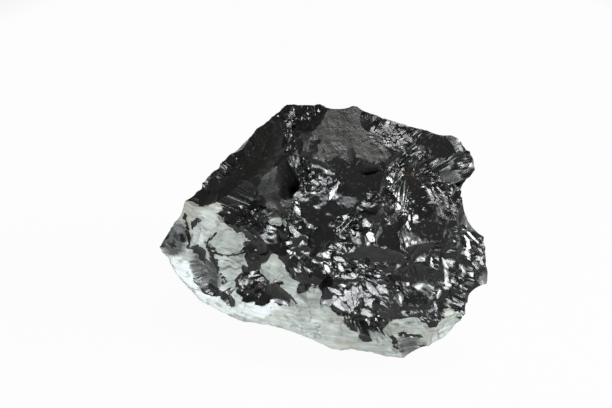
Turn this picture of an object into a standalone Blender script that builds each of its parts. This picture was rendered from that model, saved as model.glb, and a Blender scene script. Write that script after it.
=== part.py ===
"""A lump of glossy hard coal, 80 mm wide, with a pale mineral crust on its left and front foot.

The lump is one stone, shaped the way it was broken. Every direction from its heart is followed
outwards until it meets the first fracture: a flat face, or the hollow that a flake left behind.
Blender script, metres, +Z up. The origin is under the middle of the lump, on its flat base.
"""

import math

import bmesh
import bpy
import numpy as np

MM = 0.001
HEART = (-0.3, -7.3, 28.0)  # mm, the point inside the lump that all cuts are measured from
LOOK_DOWN = 40  # degrees, how far the show side is seen from above
SPHERE_STEPS = 7  # subdivisions of the ball that is carved
FACES = 9400  # triangles left once the flat stretches are thinned out
CREASE = 24  # degrees, edges sharper than this stay crisp

GRAIN_SEED = 5
GRAIN_WAVES = 28
GRAIN_SHORT, GRAIN_LONG = 5.0, 22.0  # mm, wavelengths of the unevenness of a broken face
MEAN_RADIUS = 32.0  # mm

GLOSS, DULL, CRUST = "coal_gloss", "coal_dull", "mineral_crust"
LOOKS = {  # colour, roughness
    GLOSS: ((0.011, 0.012, 0.013), 0.16),
    DULL: ((0.044, 0.044, 0.041), 0.55),
    CRUST: ((0.47, 0.51, 0.46), 0.85),
}


def view_axes(azimuth, elevation):
    """Rows right, up and near of a view: near points from the lump to the eye."""
    a, e = math.radians(azimuth), math.radians(elevation)
    right = np.array([math.cos(a), math.sin(a), 0.0])
    near = np.array([math.sin(a) * math.cos(e), -math.cos(a) * math.cos(e), math.sin(e)])
    return np.array([right, np.cross(near, right), near])


WORLD = np.eye(3)
FRONT = view_axes(0, LOOK_DOWN)
LEFT, RIGHT, BACK = view_axes(-90, 20), view_axes(90, 20), view_axes(180, 15)


def unit(vector):
    return vector / np.linalg.norm(vector)


class Lump:
    """The cuts, in mm from the heart. A cut is given in the axes of the side that it is seen from."""

    def __init__(self):
        self.cuts = []
        rng = np.random.default_rng(GRAIN_SEED)
        along = rng.normal(size=(GRAIN_WAVES, 3))
        length = np.exp(rng.uniform(math.log(GRAIN_SHORT), math.log(GRAIN_LONG), GRAIN_WAVES))
        turns = 2 * math.pi * MEAN_RADIUS / length
        self.waves = along / np.linalg.norm(along, axis=1)[:, None] * turns[:, None]
        self.swell = np.concatenate([length, length]) / np.linalg.norm(length)
        self.rng = rng

    def add(self, centre, normal, shape, finish, rough):
        """shape turns the hollow's ellipsoid into a ball of radius 1, and is None for a flat face."""
        grain = rough * self.swell * self.rng.normal(size=2 * GRAIN_WAVES)
        self.cuts.append((centre, normal, shape, finish, grain))

    def face(self, at, facing, view=FRONT, finish=GLOSS, rough=0.35):
        """A flat fracture through a point."""
        self.add(np.array(at) @ view, unit(np.array(facing) @ view), None, finish, rough)

    def rim(self, start, end, near, lean, finish=GLOSS):
        """A flat fracture that ends the show side between two points of its outline, clockwise."""
        (x1, y1), (x2, y2) = start, end
        across, rise = x2 - x1, y2 - y1
        size = math.hypot(across, rise)
        middle = ((x1 + x2) / 2, (y1 + y2) / 2, near)
        self.face(middle, (-rise / size, across / size, lean), finish=finish, rough=0.3)

    def hollow(self, centre, facing, wide, deep, stretch, way, finish, rough):
        """A concave scar: the cap, wide and deep, of an ellipsoid stretched one way."""
        radius = (wide**2 + deep**2) / (2 * deep)
        way = unit(way - facing * (way @ facing))
        shape = np.array([way / stretch, np.cross(facing, way), facing]) / radius
        self.add(centre + facing * radius, facing, shape, finish, rough)

    def flake(self, at, wide, deep, facing=None, stretch=1.0, roll=0.0, view=FRONT, finish=GLOSS, rough=0.2):
        """A scar struck where the eye's line through (right, up) meets what the cuts so far left."""
        hit, last = self.struck(at, view)
        facing = unit(np.array(facing) @ view) if facing else self.normal(last, hit)
        across = unit(view[0] - facing * (view[0] @ facing))
        roll = math.radians(roll)
        way = across * math.cos(roll) + np.cross(facing, across) * math.sin(roll)
        self.hollow(hit - facing * deep, facing, wide, deep, stretch, way, finish, rough)

    def nick(self, at, wide, deep, facing, near, stretch=3.0, finish=GLOSS, rough=0.2):
        """A bite out of the show side's outline, which runs on behind it. at is its deepest point."""
        bottom = np.array([*at, near]) @ FRONT
        toward = unit(np.array([*facing, 0.0]) @ FRONT)
        self.hollow(bottom, toward, wide, deep, stretch, FRONT[2], finish, rough)

    def struck(self, at, view):
        reach = np.linspace(60, -60, 481)
        points = np.array(at) @ view[:2] + reach[:, None] * view[2]
        distance = np.linalg.norm(points, axis=1)
        surface, last = self.carve(points / distance[:, None])
        first = int(np.argmax(distance < surface))
        return points[first], last[first]

    def normal(self, index, point):
        centre, normal, shape, _, _ = self.cuts[index]
        return normal if shape is None else unit((centre - point) @ shape.T @ shape)

    def carve(self, directions):
        """How far the stone reaches along each direction, and which cut ends it there."""
        phase = directions @ self.waves.T
        waves = np.concatenate([np.sin(phase), np.cos(phase)], axis=1)
        best = np.full(len(directions), 1e3)
        last = np.zeros(len(directions), int)
        for index, (centre, normal, shape, _, grain) in enumerate(self.cuts):
            if shape is None:
                facing = directions @ normal
                reach = np.where(facing > 1e-6, centre @ normal / np.maximum(facing, 1e-6), 1e3)
            else:
                start, step = shape @ -centre, directions @ shape.T
                a, b, c = (step**2).sum(axis=1), step @ start, start @ start - 1
                inside = b * b - a * c
                meets = (inside > 0) & (b < 0)
                reach = np.where(meets, (-b - np.sqrt(np.maximum(inside, 0))) / a, 1e3)
            reach = reach + waves @ grain
            nearer = reach < best
            best[nearer], last[nearer] = reach[nearer], index
        return best, last


def cut_block(lump):
    """The big faces of the show side; points and facings are (right, up, near)."""
    lump.face((5.6, 19.3, 17), (0.02, 0.36, 0.93), finish=DULL, rough=0.12)  # flat dull top
    lump.face((-7.8, 16.8, 17.5), (-0.55, 0.50, 0.66), rough=0.15)  # flank
    lump.face((-11.4, 7.2, 17), (-0.40, 0.02, 0.92))  # left middle
    lump.face((3.2, 1.1, 22), (-0.02, -0.14, 1.0))  # brow
    lump.face((-21.3, -18.1, -1), (-0.48, -0.36, 0.80), finish=CRUST)  # left shoulder
    lump.face((-7.8, -14.7, 12), (-0.18, -0.62, 0.76))  # low left
    lump.face((-17.5, -18.1, 1.3), (-0.44, -0.74, 0.51), finish=CRUST, rough=0.3)
    lump.face((-0.5, -19.0, 10.2), (-0.33, -0.78, 0.54), finish=CRUST, rough=0.3)
    lump.face((5.6, -21.9, 8), (-0.22, -0.80, 0.56), finish=CRUST, rough=0.3)
    lump.face((12.8, -17.1, 11), (0.05, -0.58, 0.81))  # low front
    lump.face((26.2, 7.2, 16), (0.36, 0.16, 0.92))  # right
    lump.face((31.0, -6.2, 13), (0.46, -0.20, 0.86))  # right middle
    lump.face((29.8, -22.9, 6), (0.45, -0.66, 0.60), finish=CRUST)  # right foot


def cut_outline(lump):
    """The rim of the show side, clockwise from its left tip, then the bites out of it."""
    lump.rim((-40.0, -3.3), (-39.0, -1.3), -5, -0.3, CRUST)
    lump.rim((-39.0, -1.3), (-33.5, 7.6), -1.5, -0.15, CRUST)
    lump.rim((-33.5, 7.6), (-25.2, 15.6), 2.7, -0.35)
    lump.rim((-25.2, 15.6), (-14.5, 27.0), 3.2, -0.35)
    lump.rim((-14.5, 27.0), (-6.1, 30.8), 5, -0.35)
    lump.rim((-6.1, 30.8), (-3.6, 30.9), 7.7, -0.3)
    lump.rim((-3.6, 30.9), (7.0, 29.8), 11.5, -0.28)
    lump.rim((7.0, 29.8), (31.5, 22.8), 12.5, -0.28)
    lump.rim((31.5, 22.8), (34.4, 20.2), 10.5, -0.3)
    lump.rim((34.4, 20.2), (36.6, 16.8), 9, -0.3)
    lump.rim((36.6, 16.8), (40.0, -8.8), 7.5, -0.25)
    lump.rim((40.0, -8.8), (39.5, -12.5), 5.8, -0.3)
    lump.rim((39.5, -12.5), (31.0, -24.8), 4, -0.35)
    lump.rim((31.0, -24.8), (20.6, -31.3), 1, -0.25, CRUST)
    lump.rim((20.6, -31.3), (3.2, -29.2), -1.5, -0.1, CRUST)
    lump.rim((3.2, -29.2), (-19.9, -22.3), -3, -0.1, CRUST)
    lump.rim((-19.9, -22.3), (-29.6, -17.6), -7, -0.1, CRUST)
    lump.rim((-29.6, -17.6), (-37.3, -7.9), -9, -0.1, CRUST)
    lump.rim((-37.3, -7.9), (-40.0, -3.3), -8, -0.1, CRUST)

    lump.nick((-36.6, 0.8), 2.2, 0.8, (-0.85, 0.53), -5, finish=CRUST)
    lump.nick((-28.8, 10.7), 2.4, 0.5, (-0.70, 0.71), -2)
    lump.nick((-25.9, 13.8), 1.7, 0.4, (-0.80, 0.60), -1)
    lump.nick((-18.4, 21.1), 3.9, 0.7, (-0.73, 0.68), 2)
    lump.nick((-22.8, 17.3), 2.2, 0.4, (-0.73, 0.68), 2)
    lump.nick((-11.9, 27.4), 2.2, 0.4, (-0.40, 0.92), 6)
    lump.nick((3.2, 28.8), 4.1, 1.3, (0.10, 0.99), 10)
    lump.nick((18.4, 25.2), 12.1, 1.3, (0.28, 0.96), 12)
    lump.nick((11.2, 27.8), 3.4, 0.4, (0.38, 0.92), 12)
    lump.nick((28.1, 22.8), 2.9, 0.5, (0.20, 0.98), 11)
    lump.nick((33.3, 7.9), 8.2, 3.8, (0.99, -0.05), -4, stretch=4, rough=0.3)
    lump.nick((34.5, 2.1), 5.3, 1.5, (0.85, 0.50), -3, stretch=4)
    lump.nick((37.7, -1.8), 2.9, 0.6, (0.85, 0.50), -3)
    lump.nick((35.6, -14.8), 3.9, 1.5, (0.75, -0.66), 0)
    lump.nick((33.3, -19.5), 3.2, 1.0, (0.85, -0.50), -4)
    lump.nick((26.9, -27.0), 1.9, 0.7, (0.55, -0.83), -2)
    lump.nick((24.0, -29.1), 1.7, 0.3, (0.55, -0.83), -2)
    lump.nick((9.5, -29.1), 5.8, 1.0, (-0.10, -0.99), 0, finish=CRUST)
    lump.nick((-8.7, -24.2), 10.7, 1.3, (-0.28, -0.96), -3, finish=CRUST)
    lump.nick((-37.1, -6.8), 1.5, 0.7, (-0.80, -0.60), -8, finish=CRUST)


def cut_back(lump):
    """The big faces that the show side hides, in the lump's own x, y and z, and the flat base."""
    base = (0, 0, -HEART[2])
    lump.face(base, (0, 0, -1), WORLD, finish=DULL, rough=0)
    lump.face((0, 33, 0), (0.12, 0.98, 0.12), WORLD)
    lump.face((6, 23, 17), (0.10, 0.80, 0.59), WORLD)
    lump.face((-24, 21, 0), (-0.60, 0.79, 0.12), WORLD)
    lump.face((-22, 18, -18), (-0.45, 0.60, -0.66), WORLD, CRUST)
    lump.face((27, 24, 0), (0.62, 0.77, 0.15), WORLD)
    lump.face((26, 18, -19), (0.65, 0.35, -0.67), WORLD)
    lump.face((2, 29, -20), (0.05, 0.75, -0.66), WORLD, CRUST)
    lump.face((-33, 0, -15), (-0.72, 0.10, -0.68), WORLD, CRUST)
    lump.face((33, -2, -18), (0.68, -0.10, -0.73), WORLD)
    lump.face((0, -17.5, -27.5), (0.0, -0.62, -0.78), WORLD, CRUST)


def strike_flank(lump):
    """The dark upper left and the rough cap over it."""
    lump.flake((-16.5, 19.3), 9.9, 2.1, (-0.58, 0.45, 0.68), 1.2, 42)
    lump.flake((-26.7, 8.6), 6.5, 1.5, (-0.60, 0.52, 0.60), 1.5, 45)
    lump.flake((-4.8, 21.6), 4.9, 0.3, (-0.07, 0.37, 0.93), 1.3, -62, finish=DULL, rough=0.05)
    lump.flake((-7.8, 26.5), 2.9, 0.4, (-0.20, 0.58, 0.80), 1.4, rough=0.5)


def strike_middle(lump):
    """The great hollow and the scoops and steps round it."""
    lump.flake((-2.2, -1.2), 9.4, 1.5, (-0.12, 0.08, 1.0), 1.2, 82)  # great hollow
    lump.flake((-1.0, -7.9), 6.3, 1.5, (-0.20, -0.25, 1.0), 1.1)
    lump.flake((7.2, 9.0), 4.2, 0.4, (0.0, 0.24, 0.97), 1.3, 5)  # step under the dull top
    lump.flake((15.9, -1.2), 5.9, 2.7, (0.10, 0.02, 1.0), 1.4, 78)  # middle scoop
    lump.flake((6.5, -3.3), 4.8, 0.7, (-0.12, -0.10, 1.0), 1.15, 60, rough=0.5)
    lump.flake((-1.9, 11.3), 3.4, 0.7, (-0.15, 0.0, 1.0), 1.3, -35, rough=0.5)
    lump.flake((-6.1, 12.7), 2.2, 0.5, (-0.35, 0.20, 0.90), 1.6, 55, rough=0.5)
    lump.flake((-11.2, 6.9), 4.6, 0.5, (-0.38, 0.10, 0.92), 1.2, 90, finish=DULL)
    lump.flake((-12.4, -2.5), 4.1, 1.0, (-0.35, -0.05, 0.92), 1.4, 80)


def strike_right(lump):
    """The knob, the hooded scoop, the dish below it, the bulge and the four flutes."""
    lump.flake((26.9, 19.3), 4.1, 1.0, (0.12, 0.20, 0.97), 2.0, -14)
    lump.flake((26.2, 15.9), 3.2, 1.0, (0.10, -0.35, 0.93), 2.2, -8)
    lump.flake((17.5, 22.9), 3.4, 0.7, (0.08, 0.55, 0.83), 1.6, -18, rough=0.5)
    lump.flake((21.6, 11.0), 5.6, 1.9, (0.12, -0.05, 0.99), 1.35, 84)  # hooded scoop
    lump.flake((27.0, 0.8), 6.4, 1.1, (0.10, 0.04, 0.99), 1.2)  # dish
    lump.flake((27.2, 8.6), 3.4, 1.0, (0.45, 0.30, 0.80), 1.6, -55)
    lump.flake((30.8, 7.2), 2.2, 0.5, (0.55, 0.25, 0.80), 1.6, -60)
    lump.flake((30.1, 13.5), 2.4, 0.6, (0.35, -0.15, 0.92), 1.3, -10)
    lump.flake((34.4, 16.8), 2.2, 0.5, (0.60, 0.10, 0.80), 1.6, 80, rough=0.5)
    lump.flake((35.9, -4.0), 3.6, 1.0, (0.72, 0.25, 0.62), 1.9, -62)
    lump.flake((37.8, -9.8), 2.9, 0.7, (0.75, -0.15, 0.60), 1.3, 80)
    lump.flake((22.3, -9.7), 2.8, 1.5, (0.12, -0.12, 0.98), 2.1, 76)  # flutes, left to right
    lump.flake((26.4, -9.9), 2.5, 1.5, (0.24, -0.10, 0.97), 2.6, 86)
    lump.flake((30.0, -11.2), 2.4, 1.5, (0.36, -0.12, 0.93), 3.0, 92)
    lump.flake((34.0, -10.6), 2.9, 1.3, (0.52, -0.10, 0.85), 2.1, 98)


def strike_low_front(lump):
    """The eave, the bright broken band under it and the crusted foot."""
    lump.flake((4.8, -13.0), 5.3, 1.5, (0.0, -0.75, 0.66), 1.6, 8)  # eave
    lump.flake((8.2, -10.8), 3.6, 0.9, (0.05, -0.12, 0.99), 1.9, -30)
    lump.flake((17.4, -10.2), 3.2, 0.9, (0.12, -0.14, 0.98), 1.4, -35)
    lump.flake((15.0, -14.2), 3.4, 0.6, (0.10, -0.30, 0.95), 1.5, -40)
    lump.flake((9.9, -17.0), 5.6, 0.6, (0.01, -0.27, 0.96), 1.2, rough=0.3)
    lump.flake((4.4, -17.1), 3.4, 0.7, (-0.14, -0.36, 0.92), rough=0.5)
    lump.flake((12.6, -23.0), 4.2, 0.9, (0.06, -0.44, 0.90), 1.3, -38)
    lump.flake((22.1, -16.4), 4.4, 1.1, (0.12, 0.06, 0.99))
    lump.flake((28.6, -18.5), 3.4, 0.7, (0.35, -0.28, 0.90), rough=0.4)
    lump.flake((19.4, -26.1), 5.3, 1.0, (0.05, -0.70, 0.72), finish=CRUST)
    lump.flake((21.3, -28.2), 2.9, 1.0, (0.20, -0.72, 0.66), finish=CRUST)
    lump.flake((30.3, -23.9), 3.6, 0.7, (0.55, -0.60, 0.60), finish=CRUST)


def strike_left(lump):
    """The folds and the leaf-shaped crusted scars of the left."""
    lump.flake((-18.4, 0.8), 4.1, 1.0, (-0.33, 0.08, 0.92), 1.4, -35)
    lump.flake((-19.2, 4.0), 1.9, 0.4, (-0.40, 0.10, 0.90), 1.7, 20, rough=0.5)
    lump.flake((-9.7, -12.0), 2.9, 0.7, (-0.28, -0.50, 0.82), 2.2, -50, finish=CRUST)
    lump.flake((-17.0, -14.2), 3.6, 1.0, (-0.38, -0.48, 0.80), 1.3, -40, rough=0.5)
    lump.flake((-11.9, -14.4), 2.7, 0.7, (-0.25, -0.60, 0.75), 1.8, -35)
    lump.flake((-1.7, -15.6), 3.2, 0.7, (-0.15, -0.65, 0.75), 1.3, -15, finish=CRUST)
    lump.flake((-23.0, -2.8), 3.2, 0.7, (-0.35, -0.25, 0.90), 1.75, -6, finish=CRUST)
    lump.flake((-27.6, 1.6), 2.2, 0.4, (-0.45, -0.05, 0.88), 1.2, 60, finish=CRUST)
    lump.flake((-22.1, -10.3), 3.6, 0.7, (-0.50, -0.38, 0.80), 1.5, -75, finish=CRUST)
    lump.flake((-32.0, -1.6), 3.4, 0.7, (-0.60, -0.10, 0.78), 1.6, -75, finish=CRUST)
    lump.flake((-36.6, -2.5), 1.5, 0.3, (-0.60, 0.0, 0.80), 1.4, 40, finish=CRUST)
    lump.flake((-28.3, -10.8), 3.4, 0.8, (-0.44, -0.30, 0.85), 1.6, -62, rough=0.1)


def strike_far_sides(lump):
    """The scars of the back, left and right; each faces as the stone did where it was struck."""
    for at, wide, deep, stretch, roll, finish in (
        ((6, 4), 15, 3.6, 1.25, 20, GLOSS),
        ((21, 0), 9, 2.0, 1.3, 60, GLOSS),
        ((-12, 9), 11, 2.4, 1.3, -35, GLOSS),
        ((-19, -7), 9, 2.0, 1.4, 70, GLOSS),
        ((-3, -12), 11, 2.4, 1.4, 5, GLOSS),
        ((13, -15), 8, 1.5, 1.5, -20, GLOSS),
        ((10, 17), 7, 1.4, 1.4, 15, GLOSS),
        ((-23, 5), 5, 1.3, 1.5, 80, GLOSS),
        ((-8, -20), 5, 1.2, 1.8, 10, GLOSS),
        ((-6, 19), 5, 1.0, 1.8, -10, GLOSS),
    ):
        lump.flake(at, wide, deep, None, stretch, roll, BACK, finish)
    for at, wide, deep, stretch, roll, finish in (
        ((-20, 1), 7, 1.5, 1.4, 70, GLOSS),
        ((-22, -12), 6, 1.2, 1.4, 30, GLOSS),
        ((-21, 12), 5, 1.0, 1.5, 60, GLOSS),
        ((-14, -18), 6, 1.2, 1.6, 0, CRUST),
    ):
        lump.flake(at, wide, deep, None, stretch, roll, LEFT, finish)
    for at, wide, deep, stretch, roll, finish in (
        ((16, 0), 7, 2.0, 1.3, 60, GLOSS),
        ((0, -14), 6, 1.6, 1.4, -20, GLOSS),
        ((20, 10), 6, 1.4, 1.4, 70, GLOSS),
        ((14, -19), 5, 1.2, 1.5, 10, GLOSS),
    ):
        lump.flake(at, wide, deep, None, stretch, roll, RIGHT, finish)


def knapped_lump():
    lump = Lump()
    for step in (
        cut_block,
        cut_outline,
        cut_back,
        strike_flank,
        strike_middle,
        strike_right,
        strike_low_front,
        strike_left,
        strike_far_sides,
    ):
        step(lump)
    return lump


def look_material(name):
    (red, green, blue), roughness = LOOKS[name]
    material = bpy.data.materials.new(name)
    material.use_nodes = True
    shader = material.node_tree.nodes["Principled BSDF"]
    shader.inputs["Base Color"].default_value = (red, green, blue, 1)
    shader.inputs["Roughness"].default_value = roughness
    return material


def rows(vectors):
    """Each row brought to length 1."""
    return vectors / np.linalg.norm(vectors, axis=1)[:, None]


def on_creases(lump, directions, edges):
    """The directions, the nearer end of every edge that crosses a crease moved onto the crease."""
    last = lump.carve(directions)[1]
    crossing = edges[last[edges[:, 0]] != last[edges[:, 1]]]
    start, end = directions[crossing[:, 0]], directions[crossing[:, 1]]
    low, high = np.zeros(len(crossing)), np.ones(len(crossing))
    for _ in range(7):
        middle = (low + high) / 2
        met = lump.carve(rows(start + (end - start) * middle[:, None]))[1]
        before = met == last[crossing[:, 0]]
        low, high = np.where(before, middle, low), np.where(before, high, middle)
    crease = rows(start + (end - start) * low[:, None])
    nearer = np.where(low < 0.5, crossing[:, 0], crossing[:, 1])
    shortest_last = np.argsort(-np.minimum(low, 1 - low))
    directions[nearer[shortest_last]] = crease[shortest_last]
    return directions


def numbers(items, name, width, kind):
    """A value of every vertex, edge or face of a mesh, one row for each."""
    values = np.empty(len(items) * width, kind)
    items.foreach_get(name, values)
    return values.reshape(-1, width)


def carved_ball(lump):
    """A fine ball whose points are moved to the surface of the lump, each face with its finish."""
    ball = bmesh.new()
    bmesh.ops.create_icosphere(ball, subdivisions=SPHERE_STEPS, radius=1)
    mesh = bpy.data.meshes.new("coal_lump")
    ball.to_mesh(mesh)
    ball.free()
    directions = rows(numbers(mesh.vertices, "co", 3, float))
    edges = numbers(mesh.edges, "vertices", 2, int)
    corners = numbers(mesh.polygons, "vertices", 3, int)
    directions = on_creases(lump, directions, edges)
    reach = lump.carve(directions)[0]
    points = (directions * reach[:, None] + np.array(HEART)) * MM
    mesh.vertices.foreach_set("co", points.ravel())
    slots = list(LOOKS)
    for name in slots:
        mesh.materials.append(look_material(name))
    slot_of_cut = np.array([slots.index(finish) for _, _, _, finish, _ in lump.cuts])
    last = lump.carve(rows(directions[corners].sum(axis=1)))[1]
    mesh.polygons.foreach_set("material_index", slot_of_cut[last])
    return mesh


def thinned_out(mesh):
    """The mesh with its flat stretches thinned to FACES triangles, its base exactly flat."""
    draft = bpy.data.objects.new("draft", mesh)
    bpy.context.scene.collection.objects.link(draft)
    thin = draft.modifiers.new("thin_out", "DECIMATE")
    thin.ratio = FACES / len(mesh.polygons)
    thinned = bpy.data.meshes.new_from_object(draft.evaluated_get(bpy.context.evaluated_depsgraph_get()))
    bpy.data.objects.remove(draft)
    touching = 0.05 * MM
    for vertex in thinned.vertices:
        if vertex.co.z < touching:
            vertex.co.z = 0
    return thinned


def main():
    for leftover in list(bpy.data.objects):
        bpy.data.objects.remove(leftover)
    mesh = thinned_out(carved_ball(knapped_lump()))
    mesh.name = "coal_lump"
    mesh.shade_smooth()
    mesh.set_sharp_from_angle(angle=math.radians(CREASE))
    stone = bpy.data.objects.new("coal_lump", mesh)
    bpy.context.scene.collection.objects.link(stone)


main()
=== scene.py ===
"""Looks of the coal lump: a fine mesh of the part's own cuts, with their ripples, hackles, chips and
grain, in coal, dull coal and mineral crust, on a light table between soft lamps. Millimetres from the
lump's heart while it is shaped, metres once it is a mesh.
"""

import math

import bpy
import numpy as np
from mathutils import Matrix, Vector


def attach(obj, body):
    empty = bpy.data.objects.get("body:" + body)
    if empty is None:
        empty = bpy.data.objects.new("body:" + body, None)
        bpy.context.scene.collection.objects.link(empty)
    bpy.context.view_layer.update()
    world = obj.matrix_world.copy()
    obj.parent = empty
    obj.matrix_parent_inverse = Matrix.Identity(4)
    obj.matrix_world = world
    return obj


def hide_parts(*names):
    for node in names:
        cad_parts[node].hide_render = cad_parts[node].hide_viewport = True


MM = 0.001
HEART = np.array([-0.3, -7.3, 28.0])  # mm, the point inside the lump that all cuts are measured from
LOOK_DOWN = 40  # degrees, how far the show side is seen from above

GRAIN_SEED = 5
GRAIN_WAVES = 28
GRAIN_SHORT, GRAIN_LONG = 5.0, 22.0  # mm, wavelengths of the unevenness of a broken face
MEAN_RADIUS = 32.0  # mm

CUBE_CELLS = 128  # cells along each edge of the cube that the fine mesh starts from
TOWARD_EYE = 0.42  # how much denser the mesh is on the show side
CREASE = 14  # degrees, edges sharper than this stay crisp

CHIP_SEED = 11

GLOSS, DULL, CRUST = "gloss", "dull", "crust"


def view_axes(azimuth, elevation):
    """Rows right, up and near of a view: near points from the lump to the eye."""
    a, e = math.radians(azimuth), math.radians(elevation)
    right = np.array([math.cos(a), math.sin(a), 0.0])
    near = np.array([math.sin(a) * math.cos(e), -math.cos(a) * math.cos(e), math.sin(e)])
    return np.array([right, np.cross(near, right), near])


WORLD = np.eye(3)
FRONT = view_axes(0, LOOK_DOWN)
LEFT, RIGHT, BACK = view_axes(-90, 20), view_axes(90, 20), view_axes(180, 15)


def unit(vector):
    return vector / np.linalg.norm(vector)


def rows(vectors):
    """Each row brought to length 1."""
    return vectors / np.linalg.norm(vectors, axis=1)[:, None]


def smooth_step(low, high, value):
    share = np.clip((value - low) / (high - low), 0, 1)
    return share * share * (3 - 2 * share)


class Waves:
    """Smooth seeded unevenness: a sum of plane waves, about 1 high, over points in mm."""

    def __init__(self, seed, short, long, count=40):
        rng = np.random.default_rng(seed)
        length = np.exp(rng.uniform(math.log(short), math.log(long), count))
        self.turns = rows(rng.normal(size=(count, 3))) * (2 * math.pi / length)[:, None]
        self.start = rng.uniform(0, 2 * math.pi, count)
        self.high = length / np.linalg.norm(length) * math.sqrt(2)

    def at(self, points):
        return np.sin(points @ self.turns.T + self.start) @ self.high


class Cut:
    """One fracture. shape turns a hollow's ellipsoid into a ball of radius 1, None for a flat face."""

    def __init__(self, centre, normal, shape, finish, grain, mouth=0.0, ripple=None, hackle=None, blow=0.0):
        self.centre, self.normal, self.shape = centre, normal, shape
        self.finish, self.grain, self.mouth = finish, grain, mouth
        self.ripple, self.hackle = ripple, hackle
        self.blow = np.array([math.cos(math.radians(blow)), math.sin(math.radians(blow))]) * mouth
        self.window = None

    def reach(self, directions):
        """How far a line from the heart along each direction runs before it meets the cut."""
        if self.shape is None:
            facing = directions @ self.normal
            return np.where(facing > 1e-6, self.centre @ self.normal / np.maximum(facing, 1e-6), 1e3)
        start, step = self.shape @ -self.centre, directions @ self.shape.T
        a, b, c = (step**2).sum(axis=1), step @ start, start @ start - 1
        inside = b * b - a * c
        meets = (inside > 0) & (b < 0)
        reach = np.where(meets, (-b - np.sqrt(np.maximum(inside, 0))) / a, 1e3)
        if self.ripple or self.hackle:
            spot = start + step * np.where(meets, reach, 0)[:, None]
            reach = reach + np.where(meets, self.shock(spot[:, :2]), 0)
        return reach

    def strike(self, points, index):
        """Where points on the cut lie round the point of its blow: the way, as (cosine, sine), and the
        distance, as a share of the scar."""
        if self.shape is None:
            across = unit(np.cross(self.normal, (0.3, 0.9, 0.2)))
            along = np.cross(self.normal, across)
            way = points @ across / 14 + index
            return np.stack([np.cos(way), np.sin(way), points @ along / 12], axis=1)
        away = ((points - self.centre) @ self.shape.T)[:, :2] / self.mouth
        blow = self.blow / self.mouth if self.blow.any() else np.array([math.cos(2.4 * index), math.sin(2.4 * index)])
        away = away - 1.15 * blow
        distance = np.linalg.norm(away, axis=1)[:, None]
        return np.concatenate([away / np.maximum(distance, 1e-6), distance + index], axis=1)

    def shock(self, spot):
        """Ripples round the point of the blow and hackles that fan out from it, in mm."""
        away = (spot - self.blow) / self.mouth
        distance = np.linalg.norm(away, axis=1)
        turn = np.arctan2(away[:, 1], away[:, 0])
        total = np.zeros(len(spot))
        if self.ripple:
            high, count = self.ripple
            phase = 2 * math.pi * count * distance**1.15 + 1.3 * np.sin(3 * turn + count)
            total += high * np.sin(phase) * smooth_step(0.15, 0.5, distance)
        if self.hackle:
            high, count = self.hackle
            bend = count * turn + 1.7 * np.sin(0.31 * count * turn + 2.2 * distance)
            total += high * np.abs(np.sin(bend)) * smooth_step(0.25, 1.3, distance)
        return total


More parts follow.
